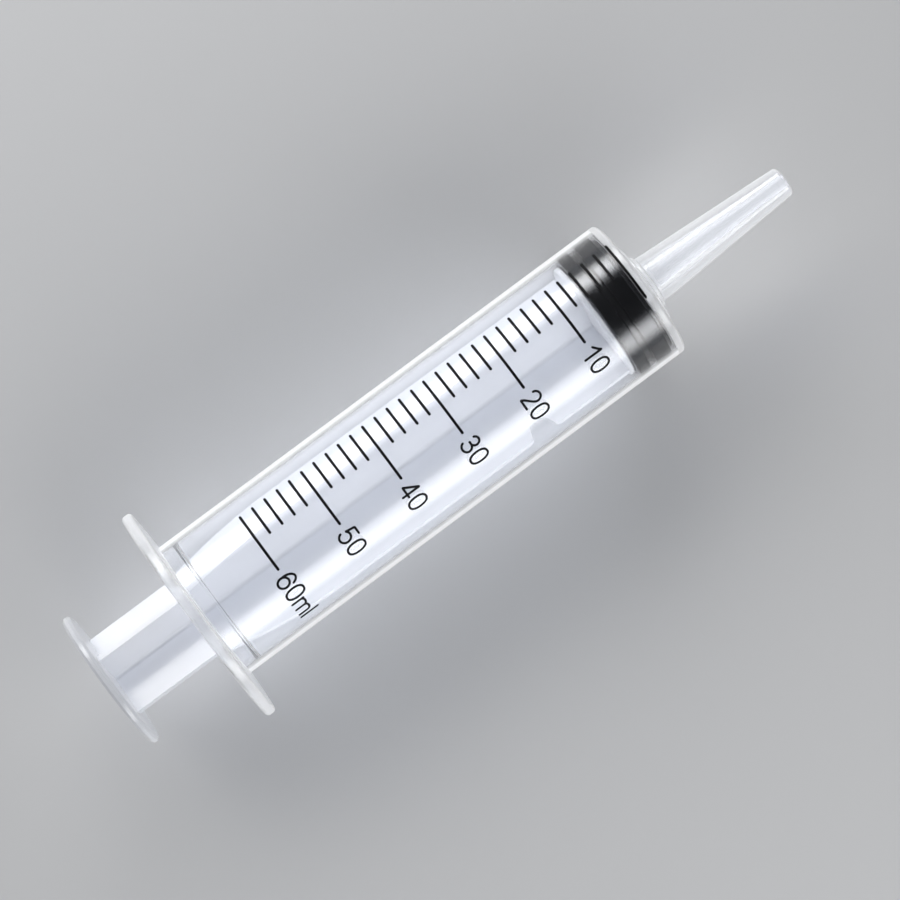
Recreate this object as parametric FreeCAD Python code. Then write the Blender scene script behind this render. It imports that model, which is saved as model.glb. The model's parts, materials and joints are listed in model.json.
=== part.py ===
# A 60 ml catheter-tip syringe, lying on its side with the plunger pressed home.
#
# Millimetres. +X runs along the syringe towards its tip, Y runs along the finger
# flange's long side, and +Z is up. Every piece is first drawn about the barrel's axis,
# with x = 0 on the rear face of the finger flange. It is then placed so that the
# syringe lies on Z = 0, with its bounding box centred on X = 0 and Y = 0.

import FreeCAD
import Part

import math
import os

Vector = FreeCAD.Vector

# Ways to ease a corner of a profile
ROUND = "round"
BEVEL = "bevel"

# Barrel tube
BORE_RADIUS = 14.4
BARREL_WALL = 1.45
BORE_LENGTH = 112.1
MOUTH_BEVEL = 0.4

# Finger flange, an oval of four tangent arcs seen along the barrel
FLANGE_EAR = 9.35
FLANGE_SIDE_LIP = 3.7
FLANGE_END_RADIUS = 5.0
FLANGE_THICKNESS = 2.45
FLANGE_EDGE_ROUNDING = 0.9
FLANGE_ROOT_BEVEL = 0.4

# Bead inside the bore that keeps the stopper from being pulled out
BEAD_SETBACK = 3.6
BEAD_WIDTH = 1.2
BEAD_HEIGHT = 0.35
BEAD_CROWN = 0.4

# Front wall of the barrel, with a low disc and a boss around the tip
FRONT_WALL = 1.85
FRONT_CORNER_BEVEL = 0.8
DISC_RADIUS = 9.2
DISC_RISE = 1.15
DISC_SLOPE = 0.2
BOSS_RADIUS = 6.05
BOSS_RISE = 1.15
BOSS_BEVEL = 0.3

# Tapered catheter tip
TIP_LENGTH = 35.0
TIP_BASE_RADIUS = 5.32
TIP_END_RADIUS = 3.28
TIP_ROOT_BEVEL = 0.5
TIP_END_ROUNDING = 1.0
TIP_BORE_BASE_RADIUS = 2.55
TIP_BORE_RADIUS = 1.4
TIP_BORE_STRAIGHT = 8.0
FUNNEL_RADIUS = 4.3
FUNNEL_LENGTH = 5.2

# Rubber stopper
STOPPER_LENGTH = 9.2
STOPPER_CLEARANCE = 0.05
STOPPER_REST_GAP = 0.1
REAR_SEAL_WIDTH = 3.0
SEAL_GROOVE_WIDTH = 1.2
SEAL_GROOVE_DEPTH = 0.9
SEAL_BEVEL = 0.3
STOPPER_NOSE_LENGTH = 0.9
STOPPER_NOSE_INSET = 0.8

# Pocket in the stopper and the knob of the plunger that turns in it
NECK_RADIUS = 4.6
NECK_LENGTH = 2.6
KNOB_RADIUS = 7.4
KNOB_LENGTH = 3.2
KNOB_BEVEL = 1.2
POCKET_CLEARANCE = 0.08

# Plunger rod: four ribs between the thumb plate and the head disc
FINGER_GAP = 20.1
GUIDE_CLEARANCE = 0.65
RIB_FLARE = 3.7
RIB_FLARE_RADIUS = 102.0
RIB_FLARE_START = 0.0
RIB_TIP_THICKNESS = 1.05
RIB_ROOT_THICKNESS = 1.5
RIB_ROOT_ROUNDING = 0.9
RIB_COUNT = 4
RIB_ANGLE = 61.3
HEAD_DISC_THICKNESS = 1.3
HEAD_DISC_CLEARANCE = 1.0
HEAD_DISC_BEVEL = 0.3
PLATE_RADIUS = 15.7
PLATE_THICKNESS = 1.85
PLATE_EDGE_BEVEL = 0.55

# Notch in the edge of one rib
NOTCH_SETBACK = 21.3
NOTCH_FLOOR_WIDTH = 3.2
NOTCH_MOUTH_WIDTH = 6.0
NOTCH_DEPTH = 3.6
NOTCH_ROUNDING = 1.3
NOTCH_RIB = 1

# Sizes that follow from the ones above
BARREL_RADIUS = BORE_RADIUS + BARREL_WALL
FLANGE_HALF_LENGTH = BARREL_RADIUS + FLANGE_EAR
FLANGE_HALF_WIDTH = BARREL_RADIUS + FLANGE_SIDE_LIP
BEAD_X = FLANGE_THICKNESS + BEAD_SETBACK
FRONT_FACE_X = BORE_LENGTH + FRONT_WALL
DISC_FACE_X = FRONT_FACE_X + DISC_RISE
BOSS_FACE_X = DISC_FACE_X + BOSS_RISE
TIP_END_X = BOSS_FACE_X + TIP_LENGTH
STOPPER_RADIUS = BORE_RADIUS - STOPPER_CLEARANCE
STOPPER_FRONT_X = BORE_LENGTH - STOPPER_REST_GAP
STOPPER_REAR_X = STOPPER_FRONT_X - STOPPER_LENGTH
HEAD_FRONT_X = STOPPER_REAR_X - POCKET_CLEARANCE
HEAD_REAR_X = HEAD_FRONT_X - HEAD_DISC_THICKNESS
RIB_RADIUS = BORE_RADIUS - GUIDE_CLEARANCE
HANDLE_RADIUS = RIB_RADIUS - RIB_FLARE
PLATE_FRONT_X = -FINGER_GAP
PLATE_REAR_X = PLATE_FRONT_X - PLATE_THICKNESS
BEAD_FRONT_X = BEAD_X + BEAD_WIDTH / 2
PLUNGER_TRAVEL = STOPPER_REAR_X - BEAD_FRONT_X - STOPPER_REST_GAP


def unit(vector):
    """Return the vector with length 1, leaving the one given as it was."""
    return vector * (1.0 / vector.Length)


def eased_corner(before, corner, after, ease, size):
    """Return the edge that rounds or bevels a corner, and that edge's two ends.

    The size is a radius, or the length that a bevel takes off each side. It is limited
    so that the corner uses at most 0.48 of either side.
    """
    back = unit(before - corner)
    ahead = unit(after - corner)
    half_angle = back.getAngle(ahead) / 2
    room = 0.48 * min((before - corner).Length, (after - corner).Length)
    reach = min(size / math.tan(half_angle) if ease == ROUND else size, room)
    start = corner + back * reach
    end = corner + ahead * reach
    if ease == BEVEL:
        return Part.LineSegment(start, end).toShape(), start, end
    radius = reach * math.tan(half_angle)
    bisector = unit(back + ahead)
    middle = corner + bisector * (radius / math.sin(half_angle) - radius)
    return Part.Arc(start, middle, end).toShape(), start, end


def eased_wire(corners):
    """Return a closed wire through corners, each (point,) or (point, ease, size)."""
    joints = []
    edges = []
    for index, corner in enumerate(corners):
        if len(corner) == 1:
            joints.append((corner[0], corner[0]))
            continue
        before = corners[index - 1][0]
        after = corners[(index + 1) % len(corners)][0]
        edge, start, end = eased_corner(before, corner[0], after, corner[1], corner[2])
        edges.append(edge)
        joints.append((start, end))
    for index, (_, leaving) in enumerate(joints):
        arriving = joints[(index + 1) % len(joints)][0]
        edges.append(Part.LineSegment(leaving, arriving).toShape())
    return Part.Wire(Part.__sortEdges__(edges))


def turned(profile):
    """Revolve a profile of (x, radius) or (x, radius, ease, size) about the X axis."""
    corners = [(Vector(x, 0, r), *ease) for x, r, *ease in profile]
    face = Part.Face(eased_wire(corners))
    return face.revolve(Vector(0, 0, 0), Vector(1, 0, 0), 360)


def flange_outline():
    """Return the flange's oval as a face at x = 0.

    Two end arcs of FLANGE_END_RADIUS and two flatter side arcs meet tangentially, so
    the side arcs' radius follows from the oval's two half sizes.
    """
    end_centre = FLANGE_HALF_LENGTH - FLANGE_END_RADIUS
    side_span = FLANGE_HALF_WIDTH - FLANGE_END_RADIUS
    side_radius = FLANGE_END_RADIUS + (end_centre ** 2 + side_span ** 2) / (2 * side_span)
    side_centre = side_radius - FLANGE_HALF_WIDTH
    slope = math.atan2(side_centre, end_centre)
    tangent_y = end_centre + FLANGE_END_RADIUS * math.cos(slope)
    tangent_z = FLANGE_END_RADIUS * math.sin(slope)
    edges = []
    for sign in (1, -1):
        end_arc = Part.Arc(Vector(0, sign * tangent_y, -tangent_z),
                           Vector(0, sign * FLANGE_HALF_LENGTH, 0),
                           Vector(0, sign * tangent_y, tangent_z))
        side_arc = Part.Arc(Vector(0, -tangent_y, sign * tangent_z),
                            Vector(0, 0, sign * FLANGE_HALF_WIDTH),
                            Vector(0, tangent_y, sign * tangent_z))
        edges += [end_arc.toShape(), side_arc.toShape()]
    return Part.Face(Part.Wire(Part.__sortEdges__(edges)))


def flange_plate():
    """Return the oval flange with its rounded rim, before the bore goes through it."""
    plate = flange_outline().extrude(Vector(FLANGE_THICKNESS, 0, 0))
    rim = [edge for edge in plate.Edges if edge.BoundBox.XLength < 0.001]
    rounding = min(FLANGE_EDGE_ROUNDING, 0.45 * FLANGE_THICKNESS)
    return plate.makeFillet(rounding, rim)


def barrel_tube():
    """Return the tube, its front wall and the hollow tip as one turned solid."""
    root_radius = BARREL_RADIUS + FLANGE_SIDE_LIP / 2
    tip_bore_x = BORE_LENGTH + FUNNEL_LENGTH
    return turned([
        (0, BORE_RADIUS, BEVEL, MOUTH_BEVEL),
        (0, root_radius),
        (FLANGE_THICKNESS, root_radius),
        (FLANGE_THICKNESS, BARREL_RADIUS, BEVEL, FLANGE_ROOT_BEVEL),
        (FRONT_FACE_X, BARREL_RADIUS, BEVEL, FRONT_CORNER_BEVEL),
        (FRONT_FACE_X, DISC_RADIUS + DISC_SLOPE),
        (DISC_FACE_X, DISC_RADIUS, BEVEL, BOSS_BEVEL),
        (DISC_FACE_X, BOSS_RADIUS),
        (BOSS_FACE_X, BOSS_RADIUS, BEVEL, BOSS_BEVEL),
        (BOSS_FACE_X, TIP_BASE_RADIUS, BEVEL, TIP_ROOT_BEVEL),
        (TIP_END_X, TIP_END_RADIUS, ROUND, TIP_END_ROUNDING),
        (TIP_END_X, TIP_BORE_RADIUS),
        (TIP_END_X - TIP_BORE_STRAIGHT, TIP_BORE_RADIUS),
        (tip_bore_x, TIP_BORE_BASE_RADIUS),
        (BORE_LENGTH, FUNNEL_RADIUS),
        (BORE_LENGTH, BORE_RADIUS),
    ])


def retaining_bead():
    """Return the bead as a turned ring with sloping flanks, its outside in the wall."""
    inner = BORE_RADIUS - BEAD_HEIGHT
    outer = BORE_RADIUS + BARREL_WALL / 2
    half_width = BEAD_WIDTH / 2
    half_crown = BEAD_CROWN / 2
    return turned([
        (BEAD_X - half_width, outer),
        (BEAD_X + half_width, outer),
        (BEAD_X + half_width, BORE_RADIUS),
        (BEAD_X + half_crown, inner),
        (BEAD_X - half_crown, inner),
        (BEAD_X - half_width, BORE_RADIUS),
    ])


def barrel():
    """Return the one-piece clear barrel: flange, tube, front wall and tip."""
    bore = Part.makeCylinder(BARREL_RADIUS, FLANGE_THICKNESS, Vector(0, 0, 0), Vector(1, 0, 0))
    ears = flange_plate().cut(bore)
    return ears.fuse([barrel_tube(), retaining_bead()]).removeSplitter()


def stopper():
    """Return the rubber stopper with its two sealing ribs and the knob's pocket."""
    rear = STOPPER_REAR_X
    front = STOPPER_FRONT_X
    groove_rear = rear + REAR_SEAL_WIDTH
    groove_front = groove_rear + SEAL_GROOVE_WIDTH
    groove_radius = STOPPER_RADIUS - SEAL_GROOVE_DEPTH
    shoulder = front - STOPPER_NOSE_LENGTH
    nose_radius = STOPPER_RADIUS - STOPPER_NOSE_INSET
    mouth_radius = NECK_RADIUS + POCKET_CLEARANCE
    pocket_radius = KNOB_RADIUS + POCKET_CLEARANCE
    pocket_rear = rear + NECK_LENGTH - 2 * POCKET_CLEARANCE
    pocket_front = rear + NECK_LENGTH + KNOB_LENGTH
    return turned([
        (rear, mouth_radius),
        (rear, STOPPER_RADIUS, BEVEL, SEAL_BEVEL),
        (groove_rear, STOPPER_RADIUS, BEVEL, SEAL_BEVEL),
        (groove_rear, groove_radius),
        (groove_front, groove_radius),
        (groove_front, STOPPER_RADIUS, BEVEL, SEAL_BEVEL),
        (shoulder, STOPPER_RADIUS, BEVEL, SEAL_BEVEL),
        (shoulder, nose_radius),
        (front, nose_radius, BEVEL, SEAL_BEVEL),
        (front, 0),
        (pocket_front, 0),
        (pocket_front, pocket_radius, BEVEL, KNOB_BEVEL),
        (pocket_rear, pocket_radius),
        (pocket_rear, mouth_radius),
    ])


def rib_section():
    """Return the rod's cross section at x = 0: tapered ribs with rounded roots."""
    root = RIB_ROOT_THICKNESS / 2
    tip = RIB_TIP_THICKNESS / 2
    step = 2 * math.pi / RIB_COUNT
    root_reach = root / math.tan(step / 2)
    corners = []
    for index in range(RIB_COUNT):
        angle = math.radians(RIB_ANGLE) + index * step
        along = Vector(0, math.cos(angle), math.sin(angle))
        across = Vector(0, -math.sin(angle), math.cos(angle))
        corners.append((along * BORE_RADIUS - across * tip,))
        corners.append((along * BORE_RADIUS + across * tip,))
        corners.append((along * root_reach + across * root, ROUND, RIB_ROOT_ROUNDING))
    return Part.Face(eased_wire(corners))


def rib_envelope():
    """Return the turned outline that trims the ribs: slim at the grip, then flaring."""
    flare_length = math.sqrt(RIB_FLARE * (2 * RIB_FLARE_RADIUS - RIB_FLARE))
    flare_end = RIB_FLARE_START + flare_length
    half_turn = math.asin(flare_length / RIB_FLARE_RADIUS) / 2
    flare_start = Vector(RIB_FLARE_START, 0, HANDLE_RADIUS)
    flare_middle = Vector(flare_end - RIB_FLARE_RADIUS * math.sin(half_turn), 0,
                          RIB_RADIUS - RIB_FLARE_RADIUS * (1 - math.cos(half_turn)))
    flare_finish = Vector(flare_end, 0, RIB_RADIUS)
    outline = [Vector(flare_end, 0, RIB_RADIUS), Vector(HEAD_REAR_X, 0, RIB_RADIUS),
               Vector(HEAD_REAR_X, 0, 0), Vector(PLATE_FRONT_X, 0, 0),
               Vector(PLATE_FRONT_X, 0, HANDLE_RADIUS), flare_start]
    edges = [Part.LineSegment(a, b).toShape() for a, b in zip(outline, outline[1:])]
    edges.append(Part.Arc(flare_start, flare_middle, flare_finish).toShape())
    face = Part.Face(Part.Wire(Part.__sortEdges__(edges)))
    return face.revolve(Vector(0, 0, 0), Vector(1, 0, 0), 360)


def rib_notch():
    """Return the cutter for the rounded notch in one rib's edge."""
    centre = HEAD_REAR_X - NOTCH_SETBACK
    floor = RIB_RADIUS - NOTCH_DEPTH
    brim = RIB_RADIUS + NOTCH_ROUNDING
    mouth = NOTCH_MOUTH_WIDTH / 2
    wide = mouth + 2 * NOTCH_ROUNDING
    outline = [
        (Vector(centre - NOTCH_FLOOR_WIDTH / 2, 0, floor), ROUND, NOTCH_ROUNDING),
        (Vector(centre + NOTCH_FLOOR_WIDTH / 2, 0, floor), ROUND, NOTCH_ROUNDING),
        (Vector(centre + mouth, 0, RIB_RADIUS), ROUND, NOTCH_ROUNDING),
        (Vector(centre + wide, 0, RIB_RADIUS),),
        (Vector(centre + wide, 0, brim),),
        (Vector(centre - wide, 0, brim),),
        (Vector(centre - wide, 0, RIB_RADIUS),),
        (Vector(centre - mouth, 0, RIB_RADIUS), ROUND, NOTCH_ROUNDING),
    ]
    face = Part.Face(eased_wire(outline))
    face.translate(Vector(0, -RIB_ROOT_THICKNESS, 0))
    cutter = face.extrude(Vector(0, 2 * RIB_ROOT_THICKNESS, 0))
    rib_turn = RIB_ANGLE + NOTCH_RIB * 360 / RIB_COUNT
    cutter.rotate(Vector(0, 0, 0), Vector(1, 0, 0), rib_turn - 90)
    return cutter


def rib_cross():
    """Return the rod's ribs, from the thumb plate to the head disc."""
    section = rib_section()
    section.translate(Vector(PLATE_FRONT_X, 0, 0))
    cross = section.extrude(Vector(HEAD_REAR_X - PLATE_FRONT_X, 0, 0))
    return cross.common(rib_envelope()).cut(rib_notch())


def thumb_plate():
    """Return the round plate that the thumb presses."""
    return turned([
        (PLATE_REAR_X, 0),
        (PLATE_REAR_X, PLATE_RADIUS, BEVEL, PLATE_EDGE_BEVEL),
        (PLATE_FRONT_X, PLATE_RADIUS, BEVEL, PLATE_EDGE_BEVEL),
        (PLATE_FRONT_X, 0),
    ])


def plunger_head():
    """Return the head disc with the neck and knob that hold the stopper."""
    disc_radius = BORE_RADIUS - HEAD_DISC_CLEARANCE
    knob_rear = HEAD_FRONT_X + NECK_LENGTH
    knob_front = knob_rear + KNOB_LENGTH
    return turned([
        (HEAD_REAR_X, 0),
        (HEAD_REAR_X, disc_radius, BEVEL, HEAD_DISC_BEVEL),
        (HEAD_FRONT_X, disc_radius, BEVEL, HEAD_DISC_BEVEL),
        (HEAD_FRONT_X, NECK_RADIUS),
        (knob_rear, NECK_RADIUS),
        (knob_rear, KNOB_RADIUS),
        (knob_front, KNOB_RADIUS, BEVEL, KNOB_BEVEL),
        (knob_front, 0),
    ])


def plunger_rod():
    """Return the one-piece plunger rod: thumb plate, ribs, head disc and knob."""
    return rib_cross().fuse([thumb_plate(), plunger_head()]).removeSplitter()


def placed(shape):
    """Move a piece from the barrel's own axis to where the syringe lies."""
    middle = (PLATE_REAR_X + TIP_END_X) / 2
    shape.translate(Vector(-middle, 0, FLANGE_HALF_WIDTH))
    return shape


def main():
    """Build every piece and write one STEP file for each."""
    os.makedirs("parts", exist_ok=True)
    pieces = {"barrel": barrel(), "stopper": stopper(), "plunger_rod": plunger_rod()}
    for name, shape in pieces.items():
        placed(shape).exportStep("parts/" + name + ".step")
        print(name, "solids", len(shape.Solids), "volume", round(shape.Volume, 1),
              "valid", shape.isValid())
    print("plunger travel", round(PLUNGER_TRAVEL, 2))


main()
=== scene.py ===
"""A clear 60 ml catheter tip syringe with a milky plunger, a black stopper and a printed scale."""
import json
import logging
import math
from dataclasses import dataclass, field
from enum import Enum

import bmesh
import bpy
from bmesh.types import BMFace, BMVert, BMesh
from bpy.types import Light, Material, Node, NodeSocket, NodeTree, Object, World
from mathutils import Matrix, Vector


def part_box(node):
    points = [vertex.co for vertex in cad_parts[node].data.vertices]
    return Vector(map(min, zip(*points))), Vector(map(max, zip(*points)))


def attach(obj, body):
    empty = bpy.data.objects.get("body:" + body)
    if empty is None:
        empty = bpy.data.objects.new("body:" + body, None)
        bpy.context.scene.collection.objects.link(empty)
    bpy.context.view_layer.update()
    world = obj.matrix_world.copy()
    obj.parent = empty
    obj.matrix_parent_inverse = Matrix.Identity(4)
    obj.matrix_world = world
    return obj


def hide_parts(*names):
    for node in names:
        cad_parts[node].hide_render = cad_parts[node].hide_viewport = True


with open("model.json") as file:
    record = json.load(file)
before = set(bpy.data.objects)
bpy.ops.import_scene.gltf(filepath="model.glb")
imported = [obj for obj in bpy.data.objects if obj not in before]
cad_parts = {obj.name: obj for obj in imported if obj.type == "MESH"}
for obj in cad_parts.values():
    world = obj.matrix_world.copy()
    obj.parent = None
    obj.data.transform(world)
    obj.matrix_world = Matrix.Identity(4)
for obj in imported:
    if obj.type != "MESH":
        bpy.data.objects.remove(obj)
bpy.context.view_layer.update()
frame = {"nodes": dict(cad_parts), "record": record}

MM = 0.001
MERGE_DISTANCE = 1e-7  # metres
TOUCHING = 1e-6  # millimetres
log = logging.getLogger("syringe")

Point = tuple[float, float]
Stroke = list[Point]
Triple = tuple[float, float, float]
Colour = tuple[float, float, float]


class Slot(Enum):
    """The record's material slots."""

    CLEAR = "clear_plastic"
    RUBBER = "black_rubber"


class Wall(Enum):
    """The barrel's kinds of wall; the value is the place of the kind's finish."""

    THIN = 0
    THICK = 1
    TIP = 2
    BORE = 3


# Shared surface effects


class SurfaceEffect:
    """A shader node group with named values in and out, built once."""

    def __init__(self, name: str, inputs: dict[str, float], outputs: tuple[str, ...]) -> None:
        """Make the empty group.

        Args:
            name: The group's name.
            inputs: The values that a material can set, with their defaults.
            outputs: The masks, heights and roughnesses that a material takes.
        """
        self.tree = bpy.data.node_groups.new(name, "ShaderNodeTree")
        for entry, default in inputs.items():
            made = self.tree.interface.new_socket(
                name=entry, in_out="INPUT", socket_type="NodeSocketFloat")
            made.default_value = default
        for entry in outputs:
            self.tree.interface.new_socket(name=entry, in_out="OUTPUT", socket_type="NodeSocketFloat")
        self.given = self.tree.nodes.new("NodeGroupInput").outputs
        self.result = self.tree.nodes.new("NodeGroupOutput").inputs

    def node(self, kind: str, **settings: object) -> Node:
        """Add a node to the group."""
        return add_node(self.tree, kind, **settings)

    def link(self, source: NodeSocket, target: NodeSocket) -> None:
        """Join two sockets of the group."""
        self.tree.links.new(source, target)

    def noise(self, place: NodeSocket, scale: float | NodeSocket, detail: float) -> NodeSocket:
        """Add a noise.

        Args:
            place: The coordinates' socket.
            scale: The noise's scale, or the socket that gives it.
            detail: The noise's detail.

        Returns:
            The noise's socket.
        """
        made = self.node("TexNoise")
        made.inputs["Detail"].default_value = detail
        self.link(place, made.inputs["Vector"])
        if isinstance(scale, float):
            made.inputs["Scale"].default_value = scale
        else:
            self.link(scale, made.inputs["Scale"])
        return made.outputs["Fac"]

    def spread(self, value: NodeSocket, low: float, high: float) -> Node:
        """Add a node that spreads the part of a value from low to high over its own range.

        Args:
            value: The value's socket.
            low: The value that gives the new range's start.
            high: The value that gives its end.

        Returns:
            The node.
        """
        made = self.node("MapRange")
        made.inputs["From Min"].default_value = low
        made.inputs["From Max"].default_value = high
        self.link(value, made.inputs["Value"])
        return made


def add_node(tree: NodeTree, kind: str, **settings: object) -> Node:
    """Add a shader node to a tree.

    Args:
        tree: The material's or group's tree.
        kind: The node's type, without Blender's ShaderNode prefix.
        settings: Properties of the node.

    Returns:
        The new node.
    """
    made = tree.nodes.new("ShaderNode" + kind)
    for name, value in settings.items():
        setattr(made, name, value)
    return made


def moulded_skin() -> NodeTree:
    """Build the effect of a moulded surface: slow waves, faint flow lines and fine haze.

    Returns:
        The group, which puts out Height, Roughness and Cloud.
    """
    effect = SurfaceEffect(
        "moulded skin",
        {"Wave Size": 60.0, "Flow Size": 900.0, "Wave Share": 0.6, "Roughness Low": 0.02,
         "Roughness High": 0.08},
        ("Height", "Roughness", "Cloud"))
    place = effect.node("TexCoord")
    stretch = effect.node("Mapping")
    stretch.inputs["Scale"].default_value = (0.12, 1.0, 1.0)
    effect.link(place.outputs["Object"], stretch.inputs["Vector"])
    grain = stretch.outputs["Vector"]
    wave = effect.noise(grain, effect.given["Wave Size"], detail=1.5)
    flow = effect.noise(grain, effect.given["Flow Size"], detail=3.0)
    blend = effect.node("Mix", data_type="FLOAT")
    effect.link(effect.given["Wave Share"], blend.inputs["Factor"])
    effect.link(flow, blend.inputs[2])
    effect.link(wave, blend.inputs[3])
    effect.link(blend.outputs[0], effect.result["Height"])
    haze = effect.noise(place.outputs["Object"], 140.0, detail=5.0)
    spread = effect.spread(haze, low=0.35, high=0.7)
    effect.link(effect.given["Roughness Low"], spread.inputs["To Min"])
    effect.link(effect.given["Roughness High"], spread.inputs["To Max"])
    effect.link(spread.outputs["Result"], effect.result["Roughness"])
    effect.link(haze, effect.result["Cloud"])
    return effect.tree


def handling_specks() -> NodeTree:
    """Build the effect of light handling: a few fine pale specks.

    Returns:
        The group, which puts out a Speck mask.
    """
    effect = SurfaceEffect("handling specks", {"Speck Size": 1800.0, "Speck Amount": 0.1}, ("Speck",))
    place = effect.node("TexCoord")
    specks = effect.noise(place.outputs["Object"], effect.given["Speck Size"], detail=1.0)
    few = effect.spread(specks, low=0.72, high=0.8)
    effect.link(effect.given["Speck Amount"], few.inputs["To Max"])
    effect.link(few.outputs["Result"], effect.result["Speck"])
    return effect.tree


@dataclass
class EffectShelf:
    """The shared effects, each built once."""

    skin: NodeTree = field(default_factory=moulded_skin)
    specks: NodeTree = field(default_factory=handling_specks)


# Finishes


class MaterialDraft:
    """A new material with one Principled shader, and short calls to fill it in."""

    def __init__(self, name: str) -> None:
        """Make the material.

        Args:
            name: The material's name.
        """
        self.material = bpy.data.materials.new(name)
        self.material.use_nodes = True
        self.tree = self.material.node_tree
        self.shader = self.tree.nodes["Principled BSDF"]
        self.output = self.tree.nodes["Material Output"]

    def set(self, **values: float | tuple[float, ...]) -> None:
        """Set plain values on the shader, with underscores for spaces in socket names."""
        for name, value in values.items():
            self.shader.inputs[name.replace("_", " ")].default_value = value

    def node(self, kind: str, **settings: object) -> Node:
        """Add a node to the material."""
        return add_node(self.tree, kind, **settings)

    def link(self, source: NodeSocket, target: NodeSocket | str) -> None:
        """Join a socket to another, or to the shader's input of that name."""
        if isinstance(target, str):
            target = self.shader.inputs[target]
        self.tree.links.new(source, target)

    def effect(self, group: NodeTree, **values: float) -> Node:
        """Place a shared effect.

        Args:
            group: The effect's node group.
            values: The effect's inputs, with underscores for spaces.

        Returns:
            The group's node.
        """
        placed = self.node("Group", node_tree=group)
        for name, value in values.items():
            placed.inputs[name.replace("_", " ")].default_value = value
        return placed

    def skin(self, shelf: EffectShelf, depth: float, strength: float = 0.3, **values: float) -> Node:
        """Give the shader the roughness and the bump of a moulded surface.

        Args:
            shelf: The shared effects.
            depth: How deep the bump is, in metres.
            strength: How much of the bump is used.
            values: The effect's inputs, with underscores for spaces.

        Returns:
            The effect's node.
        """
        skin = self.effect(shelf.skin, **values)
        bump = self.node("Bump")
        bump.inputs["Strength"].default_value = strength
        bump.inputs["Distance"].default_value = depth
        self.link(skin.outputs["Roughness"], "Roughness")
        self.link(skin.outputs["Height"], bump.inputs["Height"])
        self.link(bump.outputs["Normal"], "Normal")
        return skin

    def veil(self, colour: Colour, falloff: float, amount: float,
             far_only: bool = False) -> NodeSocket:
        """Whiten the surface where it is seen at a slant: partly the slightly milky wall, partly a
        painted highlight along the outline, made by a white diffuse layer that the viewing angle mixes
        in.

        Args:
            colour: The colour of the milkiness and the painted rim highlight.
            falloff: How fast both clear where the surface is seen straight on.
            amount: Their share at the outline, or more than 1 to widen it there.
            far_only: Whether they leave out a surface seen from within the plastic.

        Returns:
            The socket of the shader with the milkiness and the painted rim highlight.
        """
        # Painted rim highlight, partly real milkiness: a white diffuse layer is mixed in where the
        # surface is seen at a slant.
        slant = self.node("LayerWeight")
        slant.inputs["Blend"].default_value = 0.5
        clearing = self.node("Math", operation="POWER")
        clearing.inputs[1].default_value = falloff
        share = self.node("Math", operation="MULTIPLY", use_clamp=True)
        share.inputs[1].default_value = amount
        milky_rim_highlight_layer = self.node("BsdfPrincipled")
        milky_rim_highlight_layer.inputs["Base Color"].default_value = (*colour, 1.0)
        milky_rim_highlight_layer.inputs["Roughness"].default_value = 0.4
        mix = self.node("MixShader")
        self.link(slant.outputs["Facing"], clearing.inputs[0])
        self.link(clearing.outputs[0], share.inputs[0])
        if far_only:
            side = self.node("NewGeometry")
            kept = self.node("Math", operation="SUBTRACT", use_clamp=True)
            self.link(share.outputs[0], kept.inputs[0])
            self.link(side.outputs["Backfacing"], kept.inputs[1])
            share = kept
        self.link(share.outputs[0], mix.inputs["Fac"])
        self.link(self.shader.outputs["BSDF"], mix.inputs[1])
        self.link(milky_rim_highlight_layer.outputs["BSDF"], mix.inputs[2])
        return mix.outputs["Shader"]

    def clear_shadow(self, colour: Colour, seen: NodeSocket) -> None:
        """Let light through to what lies behind, as thin clear plastic does.

        Args:
            colour: The colour of the light that gets through.
            seen: The shader that everything but a shadow ray meets.
        """
        path = self.node("LightPath")
        open_way = self.node("BsdfTransparent")
        open_way.inputs["Color"].default_value = (*colour, 1.0)
        mix = self.node("MixShader")
        self.link(path.outputs["Is Shadow Ray"], mix.inputs["Fac"])
        self.link(seen, mix.inputs[1])
        self.link(open_way.outputs["BSDF"], mix.inputs[2])
        self.link(mix.outputs["Shader"], self.output.inputs["Surface"])

    def tint(self, mask: NodeSocket, low: Colour, high: Colour) -> None:
        """Mix two colours by a mask into the shader's base colour.

        Args:
            mask: The socket that gives the mask.
            low: The colour where the mask is 0.
            high: The colour where the mask is 1.
        """
        mix = self.node("Mix", data_type="RGBA")
        mix.inputs[6].default_value = (*low, 1.0)
        mix.inputs[7].default_value = (*high, 1.0)
        self.link(mask, mix.inputs["Factor"])
        self.link(mix.outputs[2], "Base Color")


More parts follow.
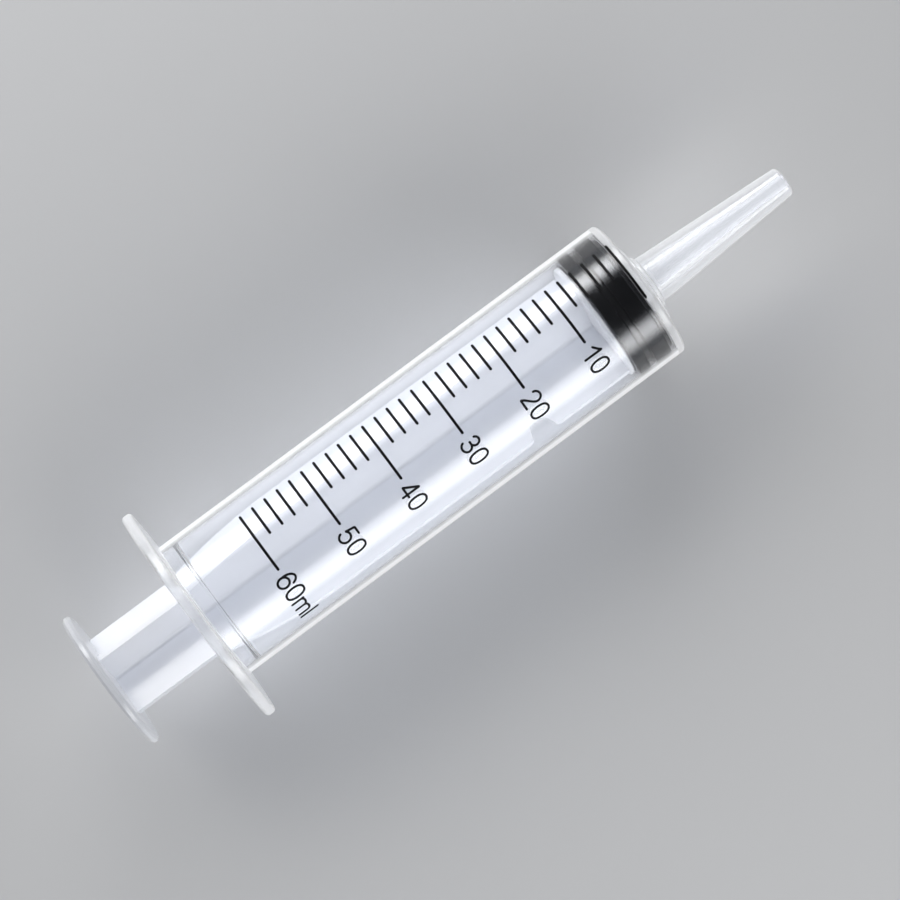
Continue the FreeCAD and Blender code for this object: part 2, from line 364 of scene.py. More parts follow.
@dataclass(frozen=True)
class MouldedPlastic:
    """A glossy plastic, clear or milky; as it stands it is the barrel's thin clear wall."""

    name: str = "clear moulded plastic"
    low: Colour = (0.97, 0.975, 0.985)
    high: Colour = (0.98, 0.985, 0.995)
    refraction: float = 1.49
    clearness: float = 1.0
    roughness_low: float = 0.07
    roughness_high: float = 0.085
    haze: float = 0.3
    haze_roughness: float = 0.14
    bloom: float = 0.2
    bloom_roughness: float = 0.25
    # Milkiness and painted rim highlight: a white layer mixed in where the wall is seen at a slant.
    veil_colour: Colour = (0.95, 0.955, 0.965)
    veil_falloff: float = 7.0
    veil_amount: float = 10.0
    veil_far_only: bool = False
    wave_size: float = 70.0
    flow_size: float = 600.0
    wave_share: float = 0.8
    wave_depth: float = 0.0000002
    shadow: Colour = (0.95, 0.955, 0.965)

    def material(self, shelf: EffectShelf) -> Material:
        """Build the finish.

        Args:
            shelf: The shared effects.

        Returns:
            The material.
        """
        draft = MaterialDraft(self.name)
        draft.set(IOR=self.refraction, Transmission_Weight=self.clearness, Metallic=0.0,
                  Coat_Weight=self.haze, Coat_Roughness=self.haze_roughness, Coat_IOR=1.5,
                  Sheen_Weight=self.bloom, Sheen_Roughness=self.bloom_roughness)
        skin = draft.skin(shelf, self.wave_depth, Wave_Size=self.wave_size, Flow_Size=self.flow_size,
                          Wave_Share=self.wave_share, Roughness_Low=self.roughness_low,
                          Roughness_High=self.roughness_high)
        draft.tint(skin.outputs["Cloud"], self.low, self.high)
        # Partly the plastic's milkiness, partly a painted highlight along the outline.
        with_milky_rim_highlight = draft.veil(self.veil_colour, self.veil_falloff, self.veil_amount, self.veil_far_only)
        draft.clear_shadow(self.shadow, with_milky_rim_highlight)
        return draft.material


# Each wall below is whitened at a slant: partly milkiness, partly a painted highlight along its
# outline; on the bore only the far wall gets it.
BORE_CLEAR = MouldedPlastic(
    name="bore clear plastic", roughness_low=0.03, roughness_high=0.04, bloom=0.0, haze=0.3,
    veil_falloff=0.7, veil_amount=1.0, veil_far_only=True)
THICK_CLEAR = MouldedPlastic(
    name="thick clear plastic", low=(0.94, 0.95, 0.965), high=(0.975, 0.98, 0.985), clearness=0.72,
    roughness_low=0.06, roughness_high=0.09, haze=0.7, haze_roughness=0.25, bloom=0.8,
    bloom_roughness=0.35, veil_falloff=1.1, veil_amount=0.85, shadow=(0.82, 0.83, 0.86))
TIP_CLEAR = MouldedPlastic(
    name="tip clear plastic", low=(0.925, 0.935, 0.955), high=(0.935, 0.945, 0.965), clearness=0.8,
    roughness_low=0.05, roughness_high=0.08, haze=0.5, haze_roughness=0.2, bloom=0.3,
    veil_falloff=1.6, veil_amount=0.9, shadow=(0.82, 0.83, 0.86))
# The rod is whitened at a slant: partly its milkiness, partly a painted highlight along its outline.
MILKY = MouldedPlastic(
    name="milky moulded plastic", low=(0.66, 0.675, 0.715), high=(0.69, 0.705, 0.745), clearness=0.22,
    roughness_low=0.2, roughness_high=0.25, haze=0.5, haze_roughness=0.12, bloom=0.0,
    veil_colour=(0.9, 0.905, 0.92), veil_falloff=2.0, veil_amount=0.6, wave_size=90.0,
    flow_size=700.0, wave_share=0.7, wave_depth=0.000002, shadow=(0.7, 0.71, 0.73))


@dataclass(frozen=True)
class BlackRubber:
    """The stopper's smooth black rubber, satin with a trace of lubricant."""

    low: Colour = (0.002, 0.002, 0.0025)
    high: Colour = (0.008, 0.008, 0.009)
    grain_depth: float = 0.000006

    def material(self, shelf: EffectShelf) -> Material:
        """Build the finish.

        Args:
            shelf: The shared effects.

        Returns:
            The material.
        """
        draft = MaterialDraft("black satin rubber")
        draft.set(IOR=1.5, Metallic=0.0, Specular_IOR_Level=1.0, Specular_Tint=(0.93, 0.95, 1.0, 1.0))
        draft.skin(shelf, self.grain_depth, strength=0.5, Wave_Size=160.0, Flow_Size=3000.0,
                   Wave_Share=0.4, Roughness_Low=0.15, Roughness_High=0.22)
        specks = draft.effect(shelf.specks, Speck_Amount=0.4)
        draft.tint(specks.outputs["Speck"], self.low, self.high)
        return draft.material


@dataclass(frozen=True)
class ScaleInk:
    """The scale's printed black ink, matt and slightly uneven."""

    low: Colour = (0.004, 0.004, 0.005)
    high: Colour = (0.018, 0.018, 0.02)
    grain_depth: float = 0.000004

    def material(self, shelf: EffectShelf) -> Material:
        """Build the finish.

        Args:
            shelf: The shared effects.

        Returns:
            The material.
        """
        draft = MaterialDraft("printed scale ink")
        draft.set(IOR=1.45, Metallic=0.0, Specular_IOR_Level=0.15)
        draft.skin(shelf, self.grain_depth, strength=0.5, Wave_Size=500.0, Flow_Size=6000.0,
                   Wave_Share=0.5, Roughness_Low=0.45, Roughness_High=0.65)
        specks = draft.effect(shelf.specks, Speck_Size=4000.0, Speck_Amount=0.8)
        draft.tint(specks.outputs["Speck"], self.low, self.high)
        return draft.material


@dataclass(frozen=True)
class PaleFloor:
    """The studio's plain pale floor."""

    low: Colour = (0.55, 0.555, 0.565)
    high: Colour = (0.57, 0.575, 0.585)

    def material(self, shelf: EffectShelf) -> Material:
        """Build the finish.

        Args:
            shelf: The shared effects.

        Returns:
            The material.
        """
        draft = MaterialDraft("pale floor")
        draft.set(Roughness=0.55, IOR=1.4, Metallic=0.0)
        skin = draft.effect(shelf.skin, Wave_Size=3.0, Flow_Size=90.0, Wave_Share=0.7)
        draft.tint(skin.outputs["Height"], self.low, self.high)
        return draft.material


# Geometry helpers


def mesh_object(name: str, shape: BMesh, *materials: Material) -> Object:
    """Turn a bmesh into a linked object.

    Args:
        name: The piece's name.
        shape: The geometry, which is freed.
        materials: The piece's finishes.

    Returns:
        The new object.
    """
    mesh = bpy.data.meshes.new(name)
    bmesh.ops.remove_doubles(shape, verts=shape.verts, dist=MERGE_DISTANCE)
    loose = [edge for edge in shape.edges if not edge.link_faces]
    bmesh.ops.delete(shape, geom=loose, context="EDGES")
    bmesh.ops.recalc_face_normals(shape, faces=shape.faces)
    shape.to_mesh(mesh)
    shape.free()
    for material in materials:
        mesh.materials.append(material)
    made = bpy.data.objects.new(name, mesh)
    bpy.context.scene.collection.objects.link(made)
    return made


def bow(centre: Point, reach: Point, start: float, end: float, steps: int = 18,
        fullness: float = 2.0) -> Stroke:
    """Return points along part of an oval, both ends included.

    Args:
        centre: The oval's centre.
        reach: The oval's half width and half height.
        start: The first point's angle in degrees, 0 to the right and 90 up.
        end: The last point's angle in degrees.
        steps: The number of steps between them.
        fullness: 2 for an ellipse, more for squarer shoulders.

    Returns:
        The points.
    """
    points = []
    for index in range(steps + 1):
        angle = math.radians(start + (end - start) * index / steps)
        c, s = math.cos(angle), math.sin(angle)
        x = math.copysign(abs(c) ** (2 / fullness), c)
        y = math.copysign(abs(s) ** (2 / fullness), s)
        points.append((centre[0] + reach[0] * x, centre[1] + reach[1] * y))
    return points


def eased_outline(corners: list[Triple], hold: float, steps: int = 6, longest: float = 6.0,
                  most: float = 0.45) -> list[Point]:
    """Round an open outline's corners and divide its long runs.

    Args:
        corners: The corners as x, radius and the rounding there.
        hold: How far from each end of a run an extra point keeps the run's shading flat.
        steps: The number of steps in each rounding.
        longest: The longest run without a point between.
        most: The largest share of a run that one rounding takes.

    Returns:
        The outline's points.
    """
    stops: list[list[Point]] = []
    for index, (x, r, rounding) in enumerate(corners):
        corner = Vector((x, r))
        if rounding == 0.0 or index in (0, len(corners) - 1):
            stops.append([(x, r)])
            continue
        back = Vector(corners[index - 1][:2]) - corner
        ahead = Vector(corners[index + 1][:2]) - corner
        half = back.angle(ahead) / 2
        reach = min(rounding / math.tan(half), most * back.length, most * ahead.length)
        start, end = corner + back.normalized() * reach, corner + ahead.normalized() * reach
        radius = reach * math.tan(half)
        inward = (back.normalized() + ahead.normalized()).normalized()
        centre = corner + inward * radius / math.sin(half)
        sweep = (start - centre).angle_signed(end - centre)
        stops.append([])
        for step in range(steps + 1):
            turned = (start - centre).copy()
            turned.rotate(Matrix.Rotation(-sweep * step / steps, 2))
            stops[-1].append(tuple(centre + turned))
    points: list[Point] = []
    for before, after in zip(stops, stops[1:]):
        points += before
        run = Vector(after[0]) - Vector(before[-1])
        if run.length < 3 * hold:
            continue
        inner = run.length - 2 * hold
        count = max(1, math.ceil(inner / longest))
        for index in range(count + 1):
            points.append(tuple(Vector(before[-1]) + run.normalized() * (hold + inner * index / count)))
    return points + stops[-1]


def is_closed(line: Stroke) -> bool:
    """Return whether a stroke ends where it starts."""
    return math.dist(line[0], line[-1]) < TOUCHING


@dataclass(frozen=True)
class Glyph:
    """A plain character drawn with round-ended strokes, in units of its own height.

    Attributes:
        strokes: The strokes' middle lines.
        advance: How far the next character starts from this one's start.
    """

    strokes: tuple[Stroke, ...]
    advance: float


def plain_glyphs() -> dict[str, Glyph]:
    """Return the characters that the scale uses.

    Returns:
        The glyphs by character.
    """
    nought = bow((0.305, 0.5), (0.255, 0.45), 90, 450, 44, 2.35)
    one = [(0.05, 0.65), (0.18, 0.76), (0.3, 0.86), (0.36, 0.95), (0.36, 0.05)]
    two = (bow((0.3, 0.7), (0.235, 0.25), 172, -28, 20)
           + [(0.44, 0.48), (0.3, 0.34), (0.14, 0.18), (0.06, 0.05), (0.56, 0.05)])
    three_top = bow((0.285, 0.735), (0.2, 0.215), 160, -90, 22) + [(0.2, 0.52)]
    three_foot = [(0.19, 0.52)] + bow((0.295, 0.285), (0.25, 0.235), 90, -165, 24)
    four_frame = [(0.44, 0.05), (0.44, 0.95), (0.05, 0.29), (0.58, 0.29)]
    five = [(0.51, 0.95), (0.165, 0.95), (0.095, 0.49)] + bow((0.3, 0.33), (0.255, 0.28), 140, -160, 26)
    six_bowl = bow((0.305, 0.33), (0.25, 0.28), 90, 450, 40)
    six_back = bow((0.325, 0.49), (0.27, 0.46), 28, 196, 26)
    arch_one = bow((0.24, 0.46), (0.19, 0.19), 180, 0, 14, 2.3)
    arch_two = bow((0.62, 0.46), (0.19, 0.19), 180, 0, 14, 2.3)
    return {
        "0": Glyph((nought,), 0.715),
        "1": Glyph((one,), 0.645),
        "2": Glyph((two,), 0.715),
        "3": Glyph((three_top, three_foot), 0.715),
        "4": Glyph((four_frame,), 0.715),
        "5": Glyph((five,), 0.715),
        "6": Glyph((six_bowl, six_back), 0.715),
        "m": Glyph(([(0.05, 0.05), (0.05, 0.65)], [(0.05, 0.46)] + arch_one + [(0.43, 0.05)],
                    arch_two + [(0.81, 0.05)]), 0.98),
        "l": Glyph(([(0.05, 0.05), (0.05, 0.95)],), 0.3),
    }


# Sub-assemblies


@dataclass
class PrintedScale:
    """The black scale printed on the barrel, with lengths in millimetres.

    Positions along the barrel are counted from the front end of its bore, where the
    empty syringe's scale starts. Positions around it are angles from the top, with the
    flange's +Y ear on the positive side.
    """

    axis_height: float
    bore_end: float
    radius: float
    bore_radius: float
    full_ml: int = 60
    tick_ml: int = 2
    long_tick_ml: int = 10
    tick_width: float = 0.6
    tick_start: float = 43.6
    short_tick_end: float = 15.9
    long_tick_end: float = -9.4
    text_start: float = -14.1
    text_height: float = 4.5
    text_stroke: float = 0.52
    lift: float = 0.012
    thickness: float = 0.012
    tick_division: float = 0.8
    sharp_turn: float = 0.6
    corner_reach: float = 0.13
    corner_steps: int = 5
    cap_shares: tuple[float, ...] = (0.08, 0.38, 0.71, 0.92)

    @property
    def step(self) -> float:
        """The length of one millilitre along the barrel."""
        return 1000.0 / (math.pi * self.bore_radius ** 2)

    def wrapped(self, along: float, around: float, height: float) -> Vector:
        """Return a point of the print in the row frame, in metres.

        Args:
            along: Millimetres along the axis, in the row frame.
            around: The angle from the top, in degrees.
            height: Millimetres above the barrel's outside.

        Returns:
            The point.
        """
        angle = math.radians(around)
        reach = self.radius + height
        return Vector((along, reach * math.sin(angle),
                       self.axis_height + reach * math.cos(angle))) * MM

    def add_line(self, shape: BMesh, line: Stroke, width: float) -> None:
        """Add one round-ended line of ink.

        Args:
            shape: The geometry to add to.
            line: The middle line, as millimetres along the axis and around the barrel,
                both flat, with the second counted from the top towards +Y.
            width: The line's width in millimetres.
        """
        left, right = self.outline(line, width / 2)
        closed = is_closed(line)
        rings = []
        for a, b in zip(left, right):
            corners = ((a, 0), (b, 0), (b, self.thickness), (a, self.thickness))
            rings.append([self.ink_point(shape, flat, height) for flat, height in corners])
        for first, second in zip(rings, rings[1:] + rings[:1] if closed else rings[1:]):
            for side in range(4):
                after = (side + 1) % 4
                shape.faces.new((first[side], first[after], second[after], second[side]))
        if not closed:
            shape.faces.new(rings[0][::-1])
            shape.faces.new(rings[-1])

    def ink_point(self, shape: BMesh, flat: Point, height: float) -> BMVert:
        """Add one wrapped vertex of the print."""
        around = math.degrees(flat[1] / self.radius)
        return shape.verts.new(self.wrapped(flat[0], around, self.lift + height))

    def outline(self, line: Stroke, half: float) -> tuple[Stroke, Stroke]:
        """Return both edges of a line, drawn in at its ends so that they look round.

        Args:
            line: The middle line.
            half: Half the line's width.

        Returns:
            The left and right edges, point by point.
        """
        closed = is_closed(line)
        line = self.with_caps(self.eased(line), half)
        left, right = [], []
        for index, (point, share) in enumerate(line):
            before = line[index - 1 if closed else max(index - 1, 0)][0]
            after = line[(index + 1) % len(line) if closed else min(index + 1, len(line) - 1)][0]
            dx, dy = after[0] - before[0], after[1] - before[1]
            length = math.hypot(dx, dy) or 1.0
            nx, ny = -dy / length * half * share, dx / length * half * share
            left.append((point[0] + nx, point[1] + ny))
            right.append((point[0] - nx, point[1] - ny))
        return left, right

    def eased(self, line: Stroke) -> Stroke:
        """Add points close to each sharp corner, so that the ink keeps its width there.

        Args:
            line: The middle line.

        Returns:
            The middle line with its corners eased.
        """
        if len(line) < 3:
            return line
        eased = [line[0]]
        for before, corner, after in zip(line, line[1:], line[2:]):
            back = Vector(before) - Vector(corner)
            ahead = Vector(after) - Vector(corner)
            if min(back.length, ahead.length) < TOUCHING:
                continue
            turn = math.pi - back.angle(ahead)
            if turn < self.sharp_turn:
                eased.append(corner)
                continue
            start = Vector(corner) + back.normalized() * self.corner_reach
            end = Vector(corner) + ahead.normalized() * self.corner_reach
            for index in range(self.corner_steps + 1):
                t = index / self.corner_steps
                mix = start * (1 - t) ** 2 + Vector(corner) * 2 * t * (1 - t) + end * t * t
                eased.append((mix.x, mix.y))
        eased.append(line[-1])
        return eased

    def with_caps(self, line: Stroke, half: float) -> list[tuple[Point, float]]:
        """Add the points of two round ends to an open line.

        Args:
            line: The middle line.
            half: Half the line's width.

        Returns:
            The points, each with the share of the width that the ink has there.
        """
        if is_closed(line):
            return [(point, 1.0) for point in line[:-1]]
        caps = []
        for end, inner in ((line[0], line[1]), (line[-1], line[-2])):
            way = (Vector(end) - Vector(inner)).normalized()
            tips = [Vector(end) + way * (half * math.sqrt(1 - share ** 2)) for share in self.cap_shares]
            caps.append([((tip.x, tip.y), share) for tip, share in zip(tips, self.cap_shares)])
        return caps[0] + [(point, 1.0) for point in line] + caps[1][::-1]

    def position(self, volume: float) -> float:
        """Return where a volume's mark lies along the axis, in millimetres."""
        return self.bore_end - volume * self.step

    def ticks(self, material: Material) -> Object:
        """Build all the marks as one piece.

        Args:
            material: The ink.

        Returns:
            The piece.
        """
        shape = bmesh.new()
        for volume in range(0, self.full_ml + 1, self.tick_ml):
            is_long = volume % self.long_tick_ml == 0
            end = self.long_tick_end if is_long else self.short_tick_end
            half = self.tick_width / 2
            start_arc = math.radians(self.tick_start) * self.radius - half
            end_arc = math.radians(end) * self.radius + half
            steps = max(2, round((start_arc - end_arc) / self.tick_division))
            line = [(self.position(volume), start_arc + (end_arc - start_arc) * index / steps)
                    for index in range(steps + 1)]
            self.add_line(shape, line, self.tick_width)
        return mesh_object("scale_ticks", shape, material)

    def number(self, volume: int, material: Material) -> Object:
        """Build the number beside one long mark.

        Args:
            volume: The mark's volume in millilitres.
            material: The ink.

        Returns:
            The piece.
        """
        glyphs = plain_glyphs()
        text = str(volume) + ("ml" if volume == self.full_ml else "")
        shape = bmesh.new()
        base = self.position(volume) - self.text_height / 2
        cursor = -math.radians(self.text_start) * self.radius
        for character in text:
            glyph = glyphs[character]
            for stroke in glyph.strokes:
                line = [(base + y * self.text_height, -(cursor + x * self.text_height))
                        for x, y in stroke]
                self.add_line(shape, line, self.text_stroke)
            cursor += glyph.advance * self.text_height
        return mesh_object("scale_number_" + str(volume), shape, material)

    def build(self, material: Material) -> list[Object]:
        """Build the whole print.

        Args:
            material: The ink.

        Returns:
            The pieces.
        """
        volumes = range(self.long_tick_ml, self.full_ml + 1, self.long_tick_ml)
        return [self.ticks(material)] + [self.number(volume, material) for volume in volumes]


@dataclass(frozen=True)
class Ring:
    """One ring of the turned barrel, in millimetres.

    Attributes:
        x: How far the ring lies in front of the flange's rear face.
        radius: The ring's radius where it is round.
        rim: The share of the way from that circle to the flange's rim, 0 or more.
        inset: How far inside the rim's outline the far end of that way lies.
    """

    x: float
    radius: float
    rim: float = 0.0
    inset: float = 0.0


@dataclass
class FlangeOutline:
    """The flange's oval of four tangent arcs, with lengths in millimetres."""

    half_length: float
    half_width: float
    end_radius: float = 5.0

    def point(self, angle: float) -> tuple[Vector, Vector]:
        """Return the outline's point in one direction and its outward normal.

        Args:
            angle: The direction, from +Y towards +Z.

        Returns:
            The point and the unit normal, both with the Y and Z parts only.
        """
        end_centre = self.half_length - self.end_radius
        side_span = self.half_width - self.end_radius
        side_radius = self.end_radius + (end_centre ** 2 + side_span ** 2) / (2 * side_span)
        side_centre = side_radius - self.half_width
        slope = math.atan2(side_centre, end_centre)
        tangent = (end_centre + self.end_radius * math.cos(slope), self.end_radius * math.sin(slope))
        way = Vector((math.cos(angle), math.sin(angle)))
        if abs(way.y) * tangent[0] < abs(way.x) * tangent[1]:
            centre = Vector((math.copysign(end_centre, way.x), 0.0))
            radius = self.end_radius
        else:
            centre = Vector((0.0, -math.copysign(side_centre, way.y)))
            radius = side_radius
        across = way.dot(centre)
        reach = across + math.sqrt(across ** 2 - centre.length_squared + radius ** 2)
        place = way * reach
        return place, (place - centre).normalized()


def turned(rings: list[Ring], start: Vector, sides: int,
           rim: FlangeOutline | None = None) -> tuple[BMesh, list[list[BMFace]]]:
    """Turn a closed loop of rings about the barrel's axis.

    Args:
        rings: The rings, in order around the section.
        start: The axis at the rings' x = 0, in metres.
        sides: The number of faces around.
        rim: The outline that rings with a share of the rim reach towards.

    Returns:
        The geometry, and its faces from each ring to the next.
    """
    angles = [2 * math.pi * index / sides for index in range(sides)]
    ways = [Vector((math.cos(angle), math.sin(angle))) for angle in angles]
    edges = [rim.point(angle) if rim else (way, way) for angle, way in zip(angles, ways)]
    shape = bmesh.new()
    loops = []
    for ring in rings:
        loop = []
        for way, (edge, normal) in zip(ways, edges):
            place = (way * ring.radius).lerp(edge - normal * ring.inset, ring.rim)
            loop.append(shape.verts.new(start + Vector((ring.x, place.x, place.y)) * MM))
        loops.append(loop)
    bands = []
    for loop, after in zip(loops, loops[1:] + loops[:1]):
        band = []
        for side in range(sides):
            following = (side + 1) % sides
            face = shape.faces.new((loop[side], loop[following], after[following], after[side]))
            face.smooth = True
            band.append(face)
        bands.append(band)
    return shape, bands


@dataclass
class Barrel:
    """The clear barrel with its print, with lengths in millimetres from the flange's rear face."""

    node: str = "barrel"
    body: str = "barrel_body"
    outside_mount: str = "barrel_outside"
    wall: float = 1.45
    bore_depth: float = 112.1
    mouth_rounding: float = 0.4
    flange_thickness: float = 2.45
    flange_rounding: float = 0.9
    root_rounding: float = 0.5
    rear_shares: tuple[float, ...] = (0.01, 0.2, 0.4, 0.6, 0.8, 0.99)
    front_shares: tuple[float, ...] = (0.99, 0.75, 0.5, 0.25, 0.01)
    bead_place: float = 6.05
    bead_width: float = 1.2
    bead_height: float = 0.35
    bead_steps: int = 12
    front_wall: float = 1.85
    front_rounding: float = 1.3
    disc: Point = (1.15, 9.2)
    disc_slope: float = 0.2
    boss: Point = (1.15, 6.05)
    step_rounding: float = 0.28
    tip_length: float = 35.0
    tip_radii: Point = (5.32, 3.28)
    tip_rounding: float = 1.0
    tip_bore: Point = (8.0, 1.4)
    tip_bore_base: Point = (5.2, 2.55)
    outlet_rounding: float = 0.2
    funnel_radius: float = 4.3
    sides: int = 256
    hold: float = 0.04

    @property
    def outside(self) -> float:
        """The tube's outside radius, as the record gives it."""
        for mount in frame["record"]["mounts"]:
            if mount["name"] == self.outside_mount:
                return float(mount["dims"]["r_mm"])
        raise ValueError("the record has no mount " + self.outside_mount)

    @property
    def bore(self) -> float:
        """The bore's radius."""
        return self.outside - self.wall

    @property
    def boss_face(self) -> float:
        """Where the tip starts."""
        return self.bore_depth + self.front_wall + self.disc[0] + self.boss[0]

    def flange_rings(self) -> list[Ring]:
        """Return the rings from the bore's rear edge, over the flange, to its root."""
        outside, bore = self.outside, self.bore
        mouth, rounding, root = self.mouth_rounding, self.flange_rounding, self.root_rounding
        thick = self.flange_thickness
        edge = (rounding, rounding)
        rings = [Ring(x, r) for x, r in bow((mouth, bore + mouth), (mouth, mouth), -90, -180, 5)]
        rings += [Ring(0.0, bore + mouth, share, rounding) for share in self.rear_shares]
        rim = (bow((rounding, -rounding), edge, 180, 90, 8)
               + bow((thick - rounding, -rounding), edge, 90, 0, 8))
        rings += [Ring(x, bore, 1.0, -drop) for x, drop in rim]
        rings += [Ring(thick, outside + root, share, rounding) for share in self.front_shares]
        foot = bow((thick + root, outside + root), (root, root), 180, 270, 6)
        rings += [Ring(x, r) for x, r in foot[:-1]]
        return rings

    def body_rings(self) -> list[Ring]:
        """Return the rings from the tube over the front wall and the tip, then back along the bore."""
        outside, bore = self.outside, self.bore
        front = self.bore_depth + self.front_wall
        disc_face = front + self.disc[0]
        boss_face = self.boss_face
        tip_end = boss_face + self.tip_length
        start = self.flange_thickness + self.root_rounding
        step = self.step_rounding
        outline = [
            (start, outside, 0.0), (self.bore_depth, outside, 0.0),
            (front, outside, self.front_rounding),
            (front, self.disc[1] + self.disc_slope, step), (disc_face, self.disc[1], step),
            (disc_face, self.boss[1], step), (boss_face, self.boss[1], step),
            (boss_face, self.tip_radii[0], step), (tip_end, self.tip_radii[1], self.tip_rounding),
            (tip_end, self.tip_bore[1], self.outlet_rounding),
            (tip_end - self.tip_bore[0], self.tip_bore[1], 0.0),
            (self.bore_depth + self.tip_bore_base[0], self.tip_bore_base[1], step),
            (self.bore_depth, self.funnel_radius, step), (self.bore_depth, bore, step),
            (self.bead_place + self.bead_width / 2, bore, 0.0)]
        points = eased_outline(outline, self.hold)
        for index in range(1, self.bead_steps + 1):
            along = index / self.bead_steps
            rise = self.bead_height * math.sin(math.pi * along) ** 2
            points.append((self.bead_place + self.bead_width * (0.5 - along), bore - rise))
        points.append((self.mouth_rounding + self.hold, bore))
        return [Ring(x, r) for x, r in points]

    def moulding(self, finishes: dict[Wall, Material]) -> Object:
        """Build the barrel's moulding as one finely turned mesh.

        Args:
            finishes: The finish of each kind of wall.

        Returns:
            The piece.
        """
        low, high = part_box(self.node)
        flange = FlangeOutline((high.y - low.y) / 2 / MM, (high.z - low.z) / 2 / MM)
        middle = (low + high) / 2
        rings = self.flange_rings() + self.body_rings()
        shape, bands = turned(rings, Vector((low.x, middle.y, middle.z)), self.sides, flange)
        for ring, after, band in zip(rings, rings[1:] + rings[:1], bands):
            wall = self.wall_at((ring.x + after.x) / 2, max(ring.radius, after.radius))
            for face in band:
                face.material_index = wall.value
        return mesh_object("barrel_moulding", shape, *(finishes[wall] for wall in Wall))

    def wall_at(self, x: float, radius: float) -> Wall:
        """Return the kind of wall at one place of the barrel's surface.

        Args:
            x: How far the place lies in front of the flange's rear face.
            radius: How far it lies from the axis.

        Returns:
            The kind.
        """
        flange_end = self.flange_thickness + self.root_rounding - self.hold
        if x > self.boss_face:
            return Wall.TIP
        if x < flange_end or x > self.bore_depth + self.hold:
            return Wall.THICK
        return Wall.BORE if radius < self.outside - self.wall / 2 else Wall.THIN

    def scale(self) -> PrintedScale:
        """Return the print, placed on this barrel."""
        low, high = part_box(self.node)
        return PrintedScale(
            axis_height=(low.z + high.z) / 2 / MM, bore_end=low.x / MM + self.bore_depth,
            radius=self.outside, bore_radius=self.bore)

    def build(self, shelf: EffectShelf) -> None:
        """Build the moulding in place of the plain solid, and print its scale.

        Args:
            shelf: The shared effects.
        """
        kinds = {Wall.THIN: MouldedPlastic(), Wall.THICK: THICK_CLEAR, Wall.TIP: TIP_CLEAR,
                 Wall.BORE: BORE_CLEAR}
        moulding = self.moulding({wall: kind.material(shelf) for wall, kind in kinds.items()})
        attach(moulding, self.body)
        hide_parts(self.node)
        log.info("turned %s", moulding.name)
        for piece in self.scale().build(ScaleInk().material(shelf)):
            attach(piece, self.body)
            log.info("printed %s", piece.name)


@dataclass
class Stopper:
    """The rubber stopper, whose two seals press on the barrel's wall, with lengths in millimetres."""

    node: str = "stopper"
    body: str = "stopper_body"
    clearance: float = 0.05
    squeeze: float = 0.02
    rear_seal: float = 3.0
    groove: Point = (1.2, 0.9)
    nose: Point = (0.9, 0.8)
    lip_rounding: float = 0.35
    mouth_radius: float = 4.68
    pocket_start: float = 2.44
    pocket_end: float = 5.8
    pocket_radius: float = 7.48
    pocket_rounding: float = 1.2
    sides: int = 192
    hold: float = 0.04

    def rings(self, length: float, radius: float) -> list[Ring]:
        """Return the rings from the pocket's mouth, over the seals, to the pocket's end.

        Args:
            length: The stopper's length.
            radius: The seals' radius.

        Returns:
            The rings.
        """
        groove_end = self.rear_seal + self.groove[0]
        shoulder = length - self.nose[0]
        groove_radius, nose_radius = radius - self.groove[1], radius - self.nose[1]
        lip, small = self.lip_rounding, self.lip_rounding / 2
        outline = [
            (0.0, self.mouth_radius, 0.0), (0.0, radius, lip), (self.rear_seal, radius, lip),
            (self.rear_seal, groove_radius, small), (groove_end, groove_radius, small),
            (groove_end, radius, lip), (shoulder, radius, lip), (shoulder, nose_radius, small),
            (length, nose_radius, lip), (length, 0.0, 0.0), (self.pocket_end, 0.0, 0.0),
            (self.pocket_end, self.pocket_radius, self.pocket_rounding),
            (self.pocket_start, self.pocket_radius, 0.0), (self.pocket_start, self.mouth_radius, 0.0),
            (0.0, self.mouth_radius, 0.0)]
        points = eased_outline(outline, self.hold)
        return [Ring(x, r) for x, r in points[:-1]]

    def build(self, shelf: EffectShelf) -> None:
        """Build the stopper in place of the plain solid.

        Args:
            shelf: The shared effects.
        """
        low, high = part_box(self.node)
        radius = (high.y - low.y) / 2 / MM + self.clearance + self.squeeze
        middle = (low + high) / 2
        rings = self.rings((high.x - low.x) / MM, radius)
        shape, _ = turned(rings, Vector((low.x, middle.y, middle.z)), self.sides)
        made = mesh_object("stopper_rubber", shape, BlackRubber().material(shelf))
        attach(made, self.body)
        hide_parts(self.node)
        log.info("turned %s", made.name)


@dataclass
class PlungerRod:
    """The translucent plunger rod."""

    node: str = "plunger_rod"

    def dress(self, shelf: EffectShelf) -> None:
        """Give the rod its finish.

        Args:
            shelf: The shared effects.
        """
        finish = MILKY.material(shelf)
        for place in frame["nodes"][self.node].material_slots:
            place.material = finish
        log.info("dressed %s", self.node)


# Studio


@dataclass
class Camera:
    """The photograph's viewpoint, nearly straight above the syringe.

    Lengths are in metres, in the row frame, and the roll is the angle between the
    barrel and the picture's lower edge.
    """

    place: Triple = (-0.0345, -0.0036, 0.78755)
    target: Triple = (-0.0020, -0.0036, 0.01955)
    roll: float = 36.55
    lens: float = 149.8

    def build(self) -> None:
        """Build the camera and make it the scene's own."""
        roll = math.radians(self.roll)
        back = (Vector(self.place) - Vector(self.target)).normalized()
        right = Vector((math.cos(roll), -math.sin(roll), 0.0))
        up = back.cross(right).normalized()
        right = up.cross(back).normalized()
        turn = Matrix((right, up, back)).transposed()
        data = bpy.data.cameras.new("camera")
        data.lens = self.lens
        data.sensor_width = 36.0
        data.clip_start = 0.01
        made = bpy.data.objects.new("camera", data)
        made.matrix_world = Matrix.Translation(self.place) @ turn.to_4x4()
        bpy.context.scene.collection.objects.link(made)
        bpy.context.scene.camera = made


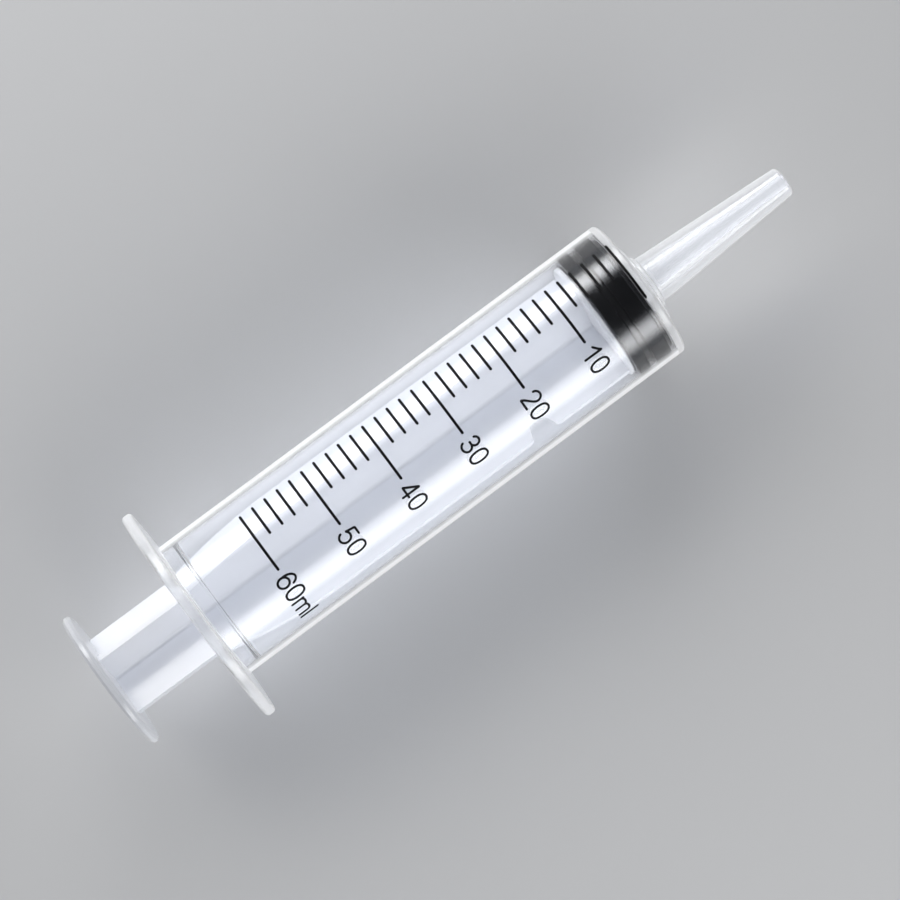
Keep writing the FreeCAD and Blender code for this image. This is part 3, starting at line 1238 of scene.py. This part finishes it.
@dataclass
class Softbox:
    """A plain rectangular softbox that points at the syringe."""

    name: str
    angle: float
    distance: float
    length: float
    width: float
    power: float
    target_height: float = 0.0195
    fade: float = 1.6

    def soften(self, data: Light) -> None:
        """Fade the light out towards its two long edges.

        Args:
            data: The light.
        """
        data.use_nodes = True
        tree = data.node_tree
        emission = next(node for node in tree.nodes if node.type == "EMISSION")
        place = add_node(tree, "NewGeometry")
        split = add_node(tree, "SeparateXYZ")
        turn = add_node(tree, "Math", operation="MULTIPLY")
        turn.inputs[1].default_value = math.pi
        wave = add_node(tree, "Math", operation="SINE")
        fade = add_node(tree, "Math", operation="POWER")
        fade.inputs[1].default_value = self.fade
        tree.links.new(place.outputs["Parametric"], split.inputs["Vector"])
        tree.links.new(split.outputs["Y"], turn.inputs[0])
        tree.links.new(turn.outputs[0], wave.inputs[0])
        tree.links.new(wave.outputs[0], fade.inputs[0])
        tree.links.new(fade.outputs[0], emission.inputs["Strength"])

    def build(self) -> None:
        """Build the light."""
        data = bpy.data.lights.new(self.name, "AREA")
        self.soften(data)
        data.shape = "RECTANGLE"
        data.size = self.length
        data.size_y = self.width
        data.energy = self.power
        made = bpy.data.objects.new(self.name, data)
        angle = math.radians(self.angle)
        made.location = (0.0, self.distance * math.sin(angle),
                         self.target_height + self.distance * math.cos(angle))
        made.rotation_euler = (-angle, 0.0, 0.0)
        bpy.context.scene.collection.objects.link(made)


@dataclass
class Studio:
    """The floor, the lights and the surroundings."""

    floor_reach: float = 6.0
    lights: list[Softbox] = field(default_factory=lambda: [
        Softbox("softbox_left", 59.0, 0.62, 0.9, 0.44, 8.2),
        Softbox("softbox_right", -61.0, 0.62, 0.9, 0.52, 6.6),
    ])
    sky: Colour = (0.85, 0.88, 0.93)
    sky_strength: float = 0.05
    horizon_strength: float = 0.5
    horizon_heights: Point = (0.1, 0.45)

    def build(self, shelf: EffectShelf) -> None:
        """Build the studio.

        Args:
            shelf: The shared effects.
        """
        shape = bmesh.new()
        bmesh.ops.create_grid(shape, x_segments=8, y_segments=8, size=self.floor_reach / 2)
        floor = mesh_object("floor", shape, PaleFloor().material(shelf))
        for light in self.lights:
            light.build()
        scene = bpy.context.scene
        scene.world = self.surroundings()
        scene.view_settings.view_transform = "Standard"
        scene.cycles.sample_clamp_indirect = 2.0
        scene.cycles.max_bounces = 24
        scene.cycles.transmission_bounces = 24
        scene.cycles.transparent_max_bounces = 24

    def surroundings(self) -> World:
        """Build plain surroundings, pale near the horizon and dim above.

        Returns:
            The world.
        """
        world = bpy.data.worlds.new("studio")
        world.use_nodes = True
        tree = world.node_tree
        background = tree.nodes["Background"]
        background.inputs["Color"].default_value = (*self.sky, 1.0)
        way = add_node(tree, "TexCoord")
        split = add_node(tree, "SeparateXYZ")
        fade = add_node(tree, "MapRange", interpolation_type="SMOOTHSTEP")
        for name, height in zip(("From Min", "From Max"), self.horizon_heights):
            fade.inputs[name].default_value = height
        fade.inputs["To Min"].default_value = self.horizon_strength
        fade.inputs["To Max"].default_value = self.sky_strength
        tree.links.new(way.outputs["Generated"], split.inputs["Vector"])
        tree.links.new(split.outputs["Z"], fade.inputs["Value"])
        tree.links.new(fade.outputs["Result"], background.inputs["Strength"])
        return world


def main() -> None:
    """Build every piece in order."""
    logging.basicConfig(level=logging.INFO, format="%(name)s: %(message)s")
    shelf = EffectShelf()
    Camera().build()
    Studio().build(shelf)
    log.info("studio is ready")
    Barrel().build(shelf)
    Stopper().build(shelf)
    PlungerRod().dress(shelf)


if __name__ == "__main__":
    main()
